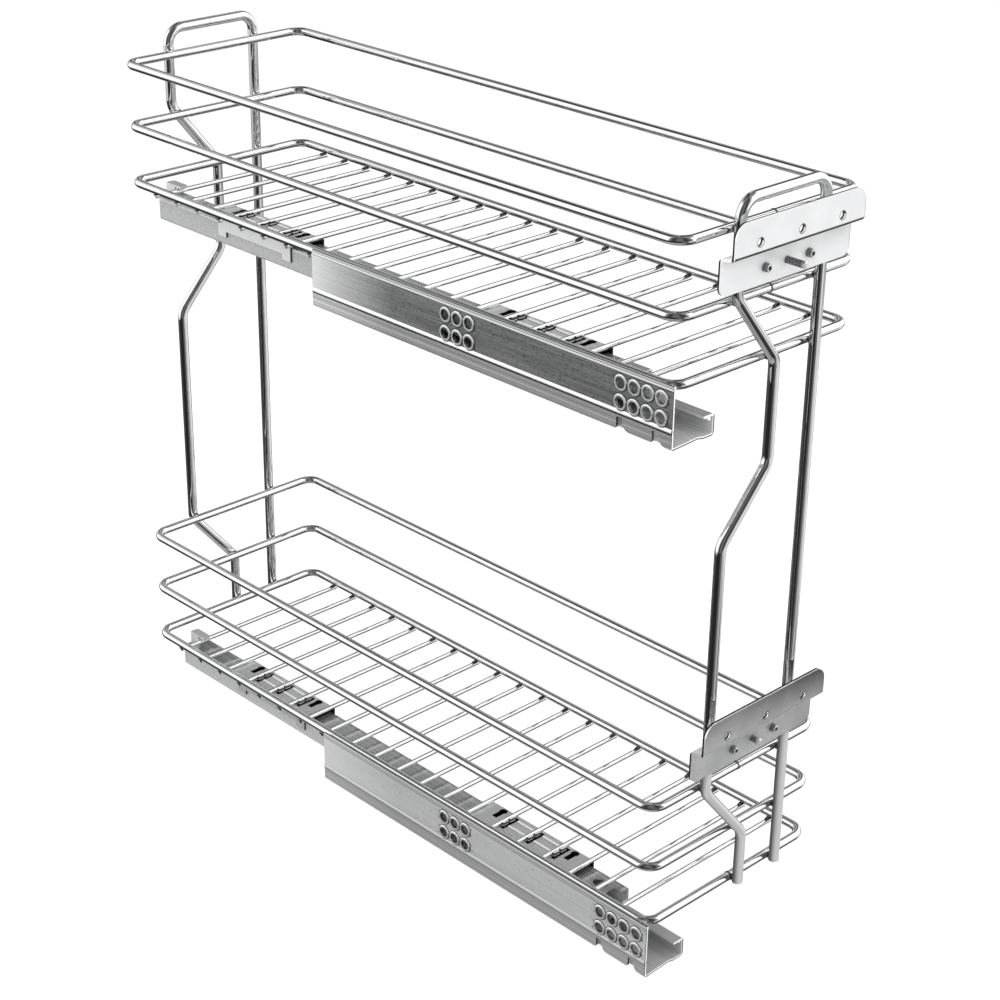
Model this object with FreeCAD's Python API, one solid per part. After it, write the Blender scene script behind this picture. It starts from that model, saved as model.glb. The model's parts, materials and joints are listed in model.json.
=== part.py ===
import FreeCAD, Part
import math
import os

# Two-tier pull-out wire basket on two side-mounted roller runners.
# Millimetres. X points from the cabinet's side wall into the cabinet, Y points to the rear, Z points up.
# The origin is the centre of the lower runner's front group of screw holes, on the cabinet's side wall.

Vector = FreeCAD.Vector

# Screw holes in the cabinet profile
hole_d = 6.3
hole_pitch = 9.3
hole_row_pitch = 10.6
front_hole_columns = 4
middle_hole_columns = 3
middle_group_distance = 135.3
collar_base_d = 9.2
collar_top_d = 7.2
collar_height = 0.8
collar_bulge = 0.25

# Cabinet profile, the fixed half of each runner
profile_length = 280.0
profile_sheet = 1.3
profile_width = 32.2
wall_rise = 13.6
wall_drop = 21.3
right_wall_height = 12.2
lip_length = 8.2
profile_bend = 0.6
bead_drop = 10.9
bead_height = 2.8
bead_depth = 0.7
bead_lower_height = 0.8
wall_lean = 0.4
wall_lean_height = 2.8
floor_crest_from_wall = 20.0
floor_crest_run = 4.0
floor_crest_rise = 1.0
front_hole_setback = 21.5
notch_slot = 4.0
notch_height = 7.6
notch_round = 6.5
notch_chamfer = 2.0
notch_depth = 4.0
notch_pitch = 24.7
notch_front_setback = 13.0
right_wall_hole_d = 3.4
right_wall_hole_setback = 3.2
right_wall_hole_drop = 2.4

# Drawer profile, the moving half of each runner
drawer_sheet = 1.2
drawer_bend = 0.6
drawer_width = 17.9
drawer_side_gap = 0.5
drawer_setback = 39.7
drawer_rear_overhang = 11.6
drawer_right_wall = 15.0
drawer_right_chamfer = 6.5
drawer_front_step_length = 5.6
drawer_front_tongue = 5.8
drawer_hole_d = 8.0
drawer_hole_setback = 15.0
hook_width = 6.0
hook_sheet = 1.5
hook_height = 8.4
hook_post_length = 8.8
hook_reach = 3.5
hook_from_left = 6.0
hook_corner = 2.0

# Rollers and the cage that carries them
roller_d = 8.8
roller_width = 6.0
roller_clearance = 0.15
roller_count = 3
roller_pitch = 38.0
axle_d = 3.0
axle_clearance = 0.05
axle_left_length = 2.6
axle_right_length = 1.5
cage_length = 110.0
cage_rear_gap = 2.0
cage_rail = 3.5
cage_clearance = 0.4
cage_roller_gap = 0.3
cage_end_room = 0.6
cage_above_lip = 1.2
glide_thickness = 1.7
glide_clearance = 0.3

# Clips that hold the floor wires on the drawer profile
clip_sheet = 1.3
clip_rise = 3.5
clip_bend = 0.5
clip_end_gap = 1.8
clip_bays = 4
clip_skirt = 9.2
clip_skirt_inset = 7.0
clip_leg = 3.6
clip_leg_width = 8.0
clip_right_skirt = 5.5
clip_slot_width = 2.8
clip_slot_edge = 3.0
clip_tab_width = 4.0
clip_tab_height = 2.4
clip_tab_offset = 2.9
clip_wire_gap = 0.1
clip_rib_r = 1.0
clip_rib_sink = 0.2
clip_rib_end_room = 0.6
clip_left_rib_inset = 7.8
clip_right_rib_inset = 5.3
clip_keyhole_offset = 30.5
clip_keyhole_width = 3.8
clip_keyhole_d = 5.2
clip_keyhole_length = 8.0
clip_keyhole_edge = 4.1
front_clip_wire = 4
rear_clip_wire = 15

# Basket wires
basket_width = 137.0
basket_length = 460.0
wall_gap = 4.2
ring_d = 5.2
ring_corner = 9.0
middle_ring_rise = 36.0
top_ring_rise = 75.0
front_wire_setback = 5.0
floor_wire_d = 3.0
floor_wire_count = 20
floor_wire_margin = 25.0
floor_wire_overhang = 0.4
tier_pitch = 323.5
weld_sink = 0.1

# Front and rear frames
frame_d = 6.2
frame_left_inset = 36.5
frame_right_inset = 103.0
frame_step_in = 34.0
frame_bend = 12.0
handle_bend = 10.0
handle_rise = 15.0
foot_drop = 2.0
lower_step_bottom = 33.0
lower_step_top = 73.5
return_step_bottom = 225.0
return_step_top = 263.0
upper_step_bottom = 322.0
upper_step_top = 364.0

# Door brackets with their screws, pins and nuts
bracket_sheet = 2.0
bracket_bend = 0.8
bracket_width = 101.0
bracket_web = 18.6
bracket_flange = 18.4
bracket_joggle = 8.3
bracket_ledge_rise = 2.0
bracket_top_corner = 8.0
bracket_bottom_corner = 5.0
lower_bracket_rise = 89.0
upper_bracket_drop = 30.0
door_hole_d = 4.5
door_hole_pitch = 32.0
door_hole_rise = 6.3
screw_d = 4.4
pin_d = 3.6
screw_hole_clearance = 0.2
screw_offset = 17.0
screw_rise = 8.7
screw_reach = 3.2
screw_tail = 7.8
screw_edge = 0.5
socket_across_flats = 2.4
socket_depth = 2.0
upper_pin_reach = 12.5
lower_pin_reach = 6.0
nut_across_flats = 8.0
nut_thickness = 4.0
thread_clearance = 0.05

# How far a cutter runs past the face that it cuts
cut_margin = 1.0

# Places in the runner, worked out from the sizes above
wall_x = collar_height
wall_inner_x = wall_x + profile_sheet
right_wall_x = wall_x + profile_width
floor_z = -wall_drop
lip_top_z = floor_z + right_wall_height
lip_bottom_z = lip_top_z - profile_sheet
lip_end_x = right_wall_x - lip_length
profile_front_y = -front_hole_setback
profile_rear_y = profile_front_y + profile_length
roller_z = lip_top_z + roller_clearance + roller_d / 2
drawer_under_z = roller_z + roller_d / 2 + roller_clearance
drawer_top_z = drawer_under_z + drawer_sheet
drawer_right_x = right_wall_x + drawer_side_gap + drawer_sheet
drawer_left_x = drawer_right_x - drawer_width
drawer_flange_top_z = lip_bottom_z - glide_thickness - 2 * glide_clearance
drawer_flange_z = drawer_flange_top_z - drawer_sheet
drawer_flange_end_x = right_wall_x - profile_sheet - drawer_side_gap

# Places in the basket
clip_top_z = drawer_top_z + clip_rise
floor_wire_z = clip_top_z + floor_wire_d / 2
bottom_ring_z = floor_wire_z + floor_wire_d / 2 + ring_d / 2 - weld_sink
left_wire_x = wall_gap + ring_d / 2
right_wire_x = left_wire_x + basket_width
front_wire_y = profile_front_y + front_wire_setback
rear_wire_y = front_wire_y + basket_length
floor_pitch = (basket_length - 2 * floor_wire_margin) / (floor_wire_count - 1)
drawer_front_y = front_wire_y + drawer_setback

# Places of the frames and the door brackets
leg_offset = (ring_d + frame_d) / 2 - weld_sink
front_leg_y = front_wire_y - leg_offset
rear_leg_y = rear_wire_y + leg_offset
web_back_y = front_leg_y - frame_d / 2 + weld_sink
web_front_y = web_back_y - bracket_sheet
flange_front_y = web_front_y - bracket_joggle
middle_x = (left_wire_x + right_wire_x) / 2


def floor_wire_y(index):
    return front_wire_y + floor_wire_margin + index * floor_pitch


def box(x0, x1, y0, y1, z0, z1):
    return Part.makeBox(x1 - x0, y1 - y0, z1 - z0, Vector(x0, y0, z0))


def rod(diameter, start, end):
    along = end - start
    return Part.makeCylinder(diameter / 2, along.Length, start, along)


def rounded_edges(points, radii):
    """Straight edges between the points, with an arc of the given radius at each inner point."""
    edges = []
    last = points[0]
    for before, corner, after, radius in zip(points, points[1:], points[2:], radii):
        back = (before - corner).normalize()
        ahead = (after - corner).normalize()
        half_turn = (math.pi - back.getAngle(ahead)) / 2
        cut = radius * math.tan(half_turn)
        middle = (back + ahead).normalize() * (radius / math.cos(half_turn) - radius)
        edges.append(Part.LineSegment(last, corner + back * cut).toShape())
        last = corner + ahead * cut
        edges.append(Part.Arc(corner + back * cut, corner + middle, last).toShape())
    edges.append(Part.LineSegment(last, points[-1]).toShape())
    return edges


def bent_wire(points, radii, diameter):
    """A round wire along straight runs and bends."""
    path = Part.Wire(rounded_edges(points, radii))
    circle = Part.Circle(points[0], points[1] - points[0], diameter / 2)
    return path.makePipeShell([Part.Wire([circle.toShape()])], True, False)


def sheet_face(points, thickness, bend, place):
    """The section of a folded sheet to the left of a line of points, with bends of that inner radius."""
    runs = [(q - p).normalize() for p, q in zip(points, points[1:])]
    sides = [Vector(-run.y, run.x, 0) for run in runs]
    offsets = [sides[0]]
    near_radii = []
    far_radii = []
    for one, two in zip(sides, sides[1:]):
        offsets.append((one + two) / (1 + one.dot(two)))
        turns_left = one.cross(two).z > 0
        near_radii.append(bend + thickness if turns_left else bend)
        far_radii.append(bend if turns_left else bend + thickness)
    offsets.append(sides[-1])
    near = [place(p) for p in points]
    far = [place(p + side * thickness) for p, side in zip(points, offsets)]
    edges = rounded_edges(near, near_radii)
    edges.append(Part.LineSegment(near[-1], far[-1]).toShape())
    edges += rounded_edges(far[::-1], far_radii[::-1])
    edges.append(Part.LineSegment(far[0], near[0]).toShape())
    return Part.Face(Part.Wire(edges))


def runner_sheet(points, thickness, bend, front_y, rear_y):
    """A folded sheet that runs along Y, from points given as X and Z."""
    flat = [Vector(x, z, 0) for x, z in points]
    face = sheet_face(flat, thickness, bend, lambda p: Vector(p.x, front_y, p.y))
    return face.extrude(Vector(0, rear_y - front_y, 0))


def prism(points, along):
    return Part.Face(Part.makePolygon(points + points[:1])).extrude(along)


def hole_group(columns, centre_y):
    first = centre_y - (columns - 1) * hole_pitch / 2
    rows = (-hole_row_pitch / 2, hole_row_pitch / 2)
    return [(first + column * hole_pitch, z) for column in range(columns) for z in rows]


def cabinet_profile():
    bead_top = bead_height / 2 - bead_drop
    bead_bottom = bead_top - bead_height
    crest_x = wall_x + floor_crest_from_wall
    section = [
        (wall_x + wall_lean, wall_rise),
        (wall_x, wall_rise - wall_lean_height),
        (wall_x, bead_top),
        (wall_x - bead_depth, bead_bottom + bead_lower_height),
        (wall_x, bead_bottom),
        (wall_x, floor_z),
        (crest_x, floor_z + floor_crest_rise),
        (crest_x + floor_crest_run, floor_z),
        (right_wall_x, floor_z),
        (right_wall_x, lip_top_z),
        (lip_end_x, lip_top_z),
    ]
    profile = runner_sheet(section, profile_sheet, profile_bend, profile_front_y, profile_rear_y)
    holes = hole_group(front_hole_columns, 0) + hole_group(middle_hole_columns, middle_group_distance)
    collars = [collar(y, z) for y, z in holes]
    drill_start = -cut_margin
    drill_end = wall_inner_x + cut_margin
    drills = [rod(hole_d, Vector(drill_start, y, z), Vector(drill_end, y, z)) for y, z in holes]
    hole_y = profile_front_y + right_wall_hole_setback
    hole_z = lip_bottom_z - right_wall_hole_drop
    hole_start = Vector(right_wall_x - profile_sheet - cut_margin, hole_y, hole_z)
    hole_end = Vector(right_wall_x + cut_margin, hole_y, hole_z)
    drills.append(rod(right_wall_hole_d, hole_start, hole_end))
    for number in range(2):
        drills.append(edge_notch(profile_front_y + notch_front_setback + number * notch_pitch))
    return profile.fuse(collars).cut(drills).removeSplitter()


def collar(y, z):
    """The raised rim of a screw hole, with its outer edge rounded over."""
    base_r = collar_base_d / 2
    top_r = collar_top_d / 2
    root = Vector(wall_inner_x, 0, 0)
    edge = Part.Arc(Vector(wall_x, base_r, 0),
                    Vector(collar_height * collar_bulge, (base_r + top_r) / 2 + collar_bulge, 0),
                    Vector(0, top_r, 0)).toShape()
    sides = Part.makePolygon([Vector(0, top_r, 0), Vector(), root, root + Vector(0, base_r, 0),
                              Vector(wall_x, base_r, 0)])
    section = Part.Face(Part.Wire([edge] + sides.Edges))
    rim = section.revolve(Vector(), Vector(1, 0, 0), 360)
    rim.translate(Vector(0, y, z))
    return rim


def edge_notch(rear_y):
    """The cutter for a notch across the bend between the screw wall and the floor, rounded at its front."""
    below = floor_z - cut_margin
    top = floor_z + notch_height
    front_y = rear_y - notch_slot
    side = notch_round * math.sqrt(0.5)
    round_y = front_y - notch_round
    round_z = floor_z + notch_round

    def at(y, z):
        return Vector(wall_x - cut_margin, y, z)

    arc = Part.Arc(at(front_y, round_z), at(round_y + side, round_z - side), at(round_y, floor_z)).toShape()
    lines = Part.makePolygon([
        at(round_y, floor_z), at(round_y, below), at(rear_y + notch_chamfer, below),
        at(rear_y + notch_chamfer, floor_z), at(rear_y, floor_z + notch_chamfer), at(rear_y, top),
        at(front_y, top), at(front_y, round_z),
    ])
    outline = Part.Face(Part.Wire([arc] + lines.Edges))
    return outline.extrude(Vector(notch_depth + cut_margin, 0, 0))


def drawer_profile():
    last_wire_y = floor_wire_y(floor_wire_count - 1)
    rear_y = last_wire_y + drawer_rear_overhang
    right_wall_end_z = drawer_top_z - drawer_right_wall
    section = [
        (drawer_right_x, right_wall_end_z),
        (drawer_right_x, drawer_top_z),
        (drawer_left_x, drawer_top_z),
        (drawer_left_x, drawer_flange_z),
        (drawer_flange_end_x, drawer_flange_z),
    ]
    profile = runner_sheet(section, drawer_sheet, drawer_bend, drawer_front_y, rear_y)
    inner_right_x = drawer_right_x - drawer_sheet
    corner = Vector(inner_right_x - cut_margin, drawer_front_y - cut_margin, right_wall_end_z - cut_margin)
    chamfer = drawer_right_chamfer + 2 * cut_margin
    chamfer_cut = prism([corner, corner + Vector(0, chamfer, 0), corner + Vector(0, 0, chamfer)],
                        Vector(drawer_sheet + 2 * cut_margin, 0, 0))
    step_y = drawer_front_y + drawer_front_step_length
    cut_low = drawer_under_z - cut_margin
    cut_high = drawer_top_z + cut_margin
    step_cut = box(drawer_left_x + drawer_sheet + drawer_bend, drawer_right_x - drawer_front_tongue,
                   drawer_front_y - cut_margin, step_y, cut_low, cut_high)
    hole_x = (drawer_left_x + drawer_right_x) / 2
    hole_y = drawer_front_y + drawer_hole_setback
    hole_cut = rod(drawer_hole_d, Vector(hole_x, hole_y, cut_low), Vector(hole_x, hole_y, cut_high))
    profile = profile.cut([chamfer_cut, step_cut, hole_cut])
    return profile.fuse(rear_hook(last_wire_y, rear_y)).removeSplitter()


def rear_hook(wire_y, rear_y):
    """The tab bent up at the rear end, with a tongue that reaches over the last floor wire."""
    left = drawer_left_x + hook_from_left
    top = drawer_top_z + hook_height
    post = box(left, left + hook_sheet, rear_y - hook_post_length, rear_y, drawer_under_z, top)
    tongue = box(left, left + hook_width, wire_y - hook_reach, rear_y, top - hook_sheet, top)
    right = left + hook_width
    free_corners = [edge for edge in tongue.Edges
                    if edge.BoundBox.ZLength > hook_sheet / 2 and edge.BoundBox.XMin > right - hook_sheet]
    return post.fuse(tongue.makeFillet(hook_corner, free_corners))


def clip(wire_index):
    """A saddle over the drawer profile that carries floor wires and grips the inner ones with tabs."""
    centre_y = floor_wire_y(wire_index)
    length = clip_bays * floor_pitch - clip_end_gap
    front_y = centre_y - length / 2
    rear_y = centre_y + length / 2
    left = drawer_left_x - clip_sheet
    right = drawer_right_x + clip_sheet
    skirt_z = clip_top_z - clip_skirt
    leg_z = skirt_z - clip_leg
    section = [
        (right, clip_top_z - clip_right_skirt),
        (right, clip_top_z),
        (left, clip_top_z),
        (left, leg_z),
    ]
    saddle = runner_sheet(section, clip_sheet, clip_bend, front_y, rear_y)
    under = clip_top_z - clip_sheet - clip_bend
    skirt_front = front_y + clip_skirt_inset
    skirt_rear = rear_y - clip_skirt_inset
    outside = left - cut_margin
    below = leg_z - cut_margin
    cutters = [
        box(outside, drawer_left_x, front_y - cut_margin, skirt_front, below, under),
        box(outside, drawer_left_x, skirt_rear, rear_y + cut_margin, below, under),
        box(outside, drawer_left_x, skirt_front + clip_leg_width, skirt_rear - clip_leg_width,
            below, skirt_z),
    ]
    cutters += [keyhole(centre_y + side * clip_keyhole_offset, right) for side in (-1, 1)]
    slot_left = left + clip_slot_edge
    slot_right = right - clip_slot_edge
    added = []
    for step in range(1 - clip_bays // 2, clip_bays // 2):
        slot_rear = centre_y + step * floor_pitch - floor_wire_d / 2 - clip_wire_gap
        slot_front = slot_rear - clip_slot_width
        cutters.append(box(slot_left, slot_right, slot_front, slot_rear, under, clip_top_z + cut_margin))
        for side in (-1, 1):
            tab_left = (left + right - clip_tab_width) / 2 + side * clip_tab_offset
            added.append(box(tab_left, tab_left + clip_tab_width, slot_rear - clip_sheet, slot_rear,
                             clip_top_z - clip_sheet, clip_top_z + clip_tab_height))
    for bay in range(clip_bays - 2):
        added += bay_ribs(centre_y + (bay + 1 - clip_bays // 2) * floor_pitch, left, right)
    return saddle.cut(cutters).fuse(added).removeSplitter()


def bay_ribs(wire_y, left, right):
    """Two stiffening ribs between one floor wire and the next slot behind it."""
    front = wire_y + floor_wire_d / 2 + clip_rib_end_room
    rear = wire_y + floor_pitch - floor_wire_d / 2 - clip_wire_gap - clip_slot_width - clip_rib_end_room
    rib_z = clip_top_z - clip_rib_sink
    places = (left + clip_left_rib_inset, right - clip_right_rib_inset)
    return [rod(2 * clip_rib_r, Vector(x, front, rib_z), Vector(x, rear, rib_z)) for x in places]


def keyhole(y, right):
    """The cutter for a slot that widens to a round end near the clip's right edge."""
    round_x = right - clip_keyhole_edge
    low = clip_top_z - clip_sheet - cut_margin
    high = clip_top_z + cut_margin
    half = clip_keyhole_width / 2
    slot = box(round_x - clip_keyhole_length, round_x, y - half, y + half, low, high)
    return slot.fuse(rod(clip_keyhole_d, Vector(round_x, y, low), Vector(round_x, y, high)))


def cage_rear_y():
    return profile_rear_y - cage_rear_gap


def roller_y(number):
    centre = cage_rear_y() - cage_length / 2
    return centre + (number - (roller_count - 1) / 2) * roller_pitch


roller_left_x = lip_end_x + cage_clearance
roller_right_x = roller_left_x + roller_width


def roller_cage():
    """A ladder of two rails for the rollers, with an arm that glides under the lip."""
    rear_y = cage_rear_y()
    front_y = rear_y - cage_length
    left = roller_left_x - cage_roller_gap - cage_rail
    right = right_wall_x + drawer_side_gap - cage_clearance
    low = lip_top_z + cage_above_lip
    high = drawer_under_z - cage_clearance
    web_right = lip_end_x - cage_clearance
    arm_top = lip_bottom_z - glide_clearance
    arm_bottom = drawer_flange_top_z + glide_clearance
    arm_right = drawer_flange_end_x
    outline = [
        (left, high), (left, arm_bottom), (arm_right, arm_bottom), (arm_right, arm_top),
        (web_right, arm_top), (web_right, low), (right, low), (right, high),
    ]
    cage = prism([Vector(x, front_y, z) for x, z in outline], Vector(0, cage_length, 0))
    cutters = []
    for number in range(roller_count):
        y = roller_y(number)
        reach = roller_d / 2 + cage_end_room
        cutters.append(box(roller_left_x - cage_roller_gap, roller_right_x + cage_roller_gap,
                           y - reach, y + reach, low - cut_margin, high + cut_margin))
        bore_d = axle_d + 2 * axle_clearance
        bore_start = Vector(left - cut_margin, y, roller_z)
        cutters.append(rod(bore_d, bore_start, Vector(right + cut_margin, y, roller_z)))
    return cage.cut(cutters)


def load_roller(number):
    y = roller_y(number)
    wheel = rod(roller_d, Vector(roller_left_x, y, roller_z), Vector(roller_right_x, y, roller_z))
    axle_start = Vector(roller_left_x - axle_left_length, y, roller_z)
    axle_end = Vector(roller_right_x + axle_right_length, y, roller_z)
    return wheel.fuse(rod(axle_d, axle_start, axle_end)).removeSplitter()


def basket_ring(z):
    """One closed ring, with its joint at the middle of the front."""
    middle = Vector(middle_x, front_wire_y, z)
    corners = [
        Vector(right_wire_x, front_wire_y, z), Vector(right_wire_x, rear_wire_y, z),
        Vector(left_wire_x, rear_wire_y, z), Vector(left_wire_x, front_wire_y, z),
    ]
    return bent_wire([middle] + corners + [middle], [ring_corner] * 4, ring_d)


def floor_wires(z):
    wires = []
    for number in range(floor_wire_count):
        y = floor_wire_y(number)
        start = Vector(left_wire_x - floor_wire_overhang, y, z)
        wires.append(rod(floor_wire_d, start, Vector(right_wire_x + floor_wire_overhang, y, z)))
    return Part.makeCompound(wires)


def end_frame(y):
    """A bent wire from one foot over the handle to the other. The left leg steps in past both runners."""
    outer = left_wire_x + frame_left_inset
    inner = outer + frame_step_in
    right = left_wire_x + frame_right_inset
    foot = -foot_drop
    handle = tier_pitch + top_ring_rise + handle_rise
    route = [
        (inner, foot), (inner, lower_step_bottom), (outer, lower_step_top), (outer, return_step_bottom),
        (inner, return_step_top), (inner, upper_step_bottom), (outer, upper_step_top), (outer, handle),
        (right, handle), (right, foot),
    ]
    points = [Vector(x, y, bottom_ring_z + rise) for x, rise in route]
    return bent_wire(points, [frame_bend] * 6 + [handle_bend] * 2, frame_d)


def rounded_plate(x0, x1, z0, z1, bottom_corner, top_corner, y0, y1):
    middle = Vector((x0 + x1) / 2, y0, z0)
    corners = [Vector(x1, y0, z0), Vector(x1, y0, z1), Vector(x0, y0, z1), Vector(x0, y0, z0)]
    radii = [bottom_corner, top_corner, top_corner, bottom_corner]
    face = Part.Face(Part.Wire(rounded_edges([middle] + corners + [middle], radii)))
    return face.extrude(Vector(0, y1 - y0, 0))


def screw_place(offset, bottom_z):
    return middle_x + offset, bottom_z + screw_rise


def door_bracket(bottom_z):
    """A joggled plate. Its web is welded to the front legs, and its flange carries the furniture door."""
    web_top_z = bottom_z + bracket_web
    flange_z = web_top_z + bracket_ledge_rise
    top_z = flange_z + bracket_flange
    left = middle_x - bracket_width / 2
    right = left + bracket_width
    section = [
        Vector(flange_front_y, top_z, 0), Vector(flange_front_y, flange_z, 0),
        Vector(web_front_y, web_top_z, 0), Vector(web_front_y, bottom_z, 0),
    ]
    face = sheet_face(section, bracket_sheet, bracket_bend, lambda p: Vector(left, p.x, p.y))
    plate = face.extrude(Vector(bracket_width, 0, 0))
    outline = rounded_plate(left, right, bottom_z, top_z, bracket_bottom_corner, bracket_top_corner,
                            flange_front_y - cut_margin, web_back_y + cut_margin)
    hole_z = flange_z + door_hole_rise
    drills = []
    for step in (-1, 0, 1):
        start = Vector(middle_x + step * door_hole_pitch, flange_front_y - cut_margin, hole_z)
        drills.append(rod(door_hole_d, start, start + Vector(0, bracket_sheet + 2 * cut_margin, 0)))
    for offset, diameter in ((-screw_offset, screw_d), (0, pin_d), (screw_offset, screw_d)):
        x, z = screw_place(offset, bottom_z)
        start = Vector(x, web_front_y - cut_margin, z)
        end = Vector(x, web_back_y + cut_margin, z)
        drills.append(rod(diameter + 2 * screw_hole_clearance, start, end))
    return plate.common(outline).cut(drills)


def hexagon(x, y, z, across_flats, length):
    """A six-sided bar that runs along Y from the given centre."""
    corner_r = across_flats / math.sqrt(3)
    points = []
    for step in range(6):
        angle = math.radians(60 * step)
        points.append(Vector(x + corner_r * math.cos(angle), y, z + corner_r * math.sin(angle)))
    return prism(points, Vector(0, length, 0))


def headless_screw(x, z, diameter, reach):
    """A round bar through the web, with a bevelled front end."""
    front_y = web_front_y - reach
    rear_y = web_front_y + screw_tail
    body = rod(diameter, Vector(x, front_y + screw_edge, z), Vector(x, rear_y, z))
    tip_r = diameter / 2 - screw_edge
    nose = Part.makeCone(tip_r, diameter / 2, screw_edge, Vector(x, front_y, z), Vector(0, 1, 0))
    return body.fuse(nose).removeSplitter()


def lock_screw(x, z):
    """A short screw with a six-sided socket in its front end."""
    front_y = web_front_y - screw_reach
    socket = hexagon(x, front_y - cut_margin, z, socket_across_flats, socket_depth + cut_margin)
    return headless_screw(x, z, screw_d, screw_reach).cut(socket)


def weld_nut(x, z, diameter):
    nut = hexagon(x, web_back_y, z, nut_across_flats, nut_thickness)
    bore_start = Vector(x, web_back_y - cut_margin, z)
    bore_end = Vector(x, web_back_y + nut_thickness + cut_margin, z)
    return nut.cut(rod(diameter + 2 * thread_clearance, bore_start, bore_end))


def bracket_parts(tier, bottom_z, pin_reach):
    left = screw_place(-screw_offset, bottom_z)
    middle = screw_place(0, bottom_z)
    right = screw_place(screw_offset, bottom_z)
    nuts = [weld_nut(*left, screw_d), weld_nut(*middle, pin_d), weld_nut(*right, screw_d)]
    return {
        f"{tier}_door_bracket": door_bracket(bottom_z),
        f"{tier}_lock_screws": Part.makeCompound([lock_screw(*left), lock_screw(*right)]),
        f"{tier}_centre_pin": headless_screw(*middle, pin_d, pin_reach),
        f"{tier}_weld_nuts": Part.makeCompound(nuts),
    }


def tier_parts(tier, base_z):
    """One runner and one basket, raised by base_z."""
    ring_z = bottom_ring_z
    parts = {
        f"{tier}_cabinet_profile": cabinet_profile(),
        f"{tier}_drawer_profile": drawer_profile(),
        f"{tier}_front_clip": clip(front_clip_wire),
        f"{tier}_rear_clip": clip(rear_clip_wire),
        f"{tier}_roller_cage": roller_cage(),
        f"{tier}_bottom_ring": basket_ring(ring_z),
        f"{tier}_middle_ring": basket_ring(ring_z + middle_ring_rise),
        f"{tier}_top_ring": basket_ring(ring_z + top_ring_rise),
        f"{tier}_floor_wires": floor_wires(floor_wire_z),
    }
    for number in range(roller_count):
        parts[f"{tier}_roller_{number + 1}"] = load_roller(number)
    for shape in parts.values():
        shape.translate(Vector(0, 0, base_z))
    return parts


parts = tier_parts("lower", 0) | tier_parts("upper", tier_pitch)
parts["front_frame"] = end_frame(front_leg_y)
parts["rear_frame"] = end_frame(rear_leg_y)
parts |= bracket_parts("lower", bottom_ring_z + lower_bracket_rise, lower_pin_reach)
top_ring_z = bottom_ring_z + tier_pitch + top_ring_rise
parts |= bracket_parts("upper", top_ring_z - upper_bracket_drop, upper_pin_reach)

os.makedirs("parts", exist_ok=True)
for name, shape in parts.items():
    shape.exportStep(f"parts/{name}.step")
    solids = len(shape.Solids)
    state = "valid" if shape.isValid() else "NOT VALID"
    print(f"{name}: {solids} solid(s), {shape.Volume / 1000:.2f} cm3, {state}")
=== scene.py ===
import json
import math

import bmesh
import bpy
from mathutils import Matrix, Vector, noise


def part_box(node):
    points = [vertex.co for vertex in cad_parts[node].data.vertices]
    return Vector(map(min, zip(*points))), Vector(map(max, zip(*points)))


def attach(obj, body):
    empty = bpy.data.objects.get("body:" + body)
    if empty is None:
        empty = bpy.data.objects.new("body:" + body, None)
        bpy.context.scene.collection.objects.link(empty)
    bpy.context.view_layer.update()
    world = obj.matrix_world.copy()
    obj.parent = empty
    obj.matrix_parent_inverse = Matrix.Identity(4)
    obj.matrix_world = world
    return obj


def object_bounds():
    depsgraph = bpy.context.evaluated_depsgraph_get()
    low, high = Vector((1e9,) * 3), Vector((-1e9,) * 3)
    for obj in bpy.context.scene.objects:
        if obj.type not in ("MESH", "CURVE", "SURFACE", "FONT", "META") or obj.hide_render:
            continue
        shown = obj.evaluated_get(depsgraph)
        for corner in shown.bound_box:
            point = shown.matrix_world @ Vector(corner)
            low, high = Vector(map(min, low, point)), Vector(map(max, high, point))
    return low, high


# The dressed pull-out wire basket. Metres, in the same frame as the solids.
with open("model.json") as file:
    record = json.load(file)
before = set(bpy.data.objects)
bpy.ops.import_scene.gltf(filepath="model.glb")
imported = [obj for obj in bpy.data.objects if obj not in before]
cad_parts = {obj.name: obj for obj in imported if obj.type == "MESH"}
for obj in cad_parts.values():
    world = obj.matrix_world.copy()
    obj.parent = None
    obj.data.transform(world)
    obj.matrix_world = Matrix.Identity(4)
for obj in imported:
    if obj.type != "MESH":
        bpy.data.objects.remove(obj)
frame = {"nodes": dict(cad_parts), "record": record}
size_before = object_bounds()
nodes = frame["nodes"]
mounts = {mount["name"]: mount for mount in frame["record"]["mounts"]}
tiers = ("lower", "upper")
rings = ("bottom_ring", "middle_ring", "top_ring")
scene = bpy.context.scene


# Shader helpers

# Sockets of the Mix node, which have the same names for numbers and for colours
mix_share, mix_number_a, mix_number_b, mix_colour_a, mix_colour_b = 0, 2, 3, 6, 7
mix_number_out, mix_colour_out = 0, 2

mask_softness = 0.00006
bump_strength = 0.3


def bluish(shade):
    """The grey of bright metal, with a trace of blue."""
    return shade, shade + 0.005, shade + 0.01


def grey(shade):
    return shade, shade, shade


white = grey(1.0)


def new_material(name):
    made = bpy.data.materials.new(name)
    made.use_nodes = True
    return made, made.node_tree, made.node_tree.nodes["Principled BSDF"]


def feed(tree, socket, value):
    """Link a socket to another one, or set it to a plain value."""
    if isinstance(value, bpy.types.NodeSocket):
        tree.links.new(value, socket)
    else:
        socket.default_value = value


def add(tree, kind, inputs, **settings):
    made = tree.nodes.new("ShaderNode" + kind)
    for key, value in settings.items():
        setattr(made, key, value)
    for key, value in inputs.items():
        feed(tree, made.inputs[key], value)
    return made


def place(tree):
    return add(tree, "TexCoord", {}).outputs["Object"]


def axis(tree, letter):
    return add(tree, "SeparateXYZ", {"Vector": place(tree)}).outputs[letter]


def math_node(tree, operation, *values):
    return add(tree, "Math", dict(enumerate(values)), operation=operation).outputs[0]


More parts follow.
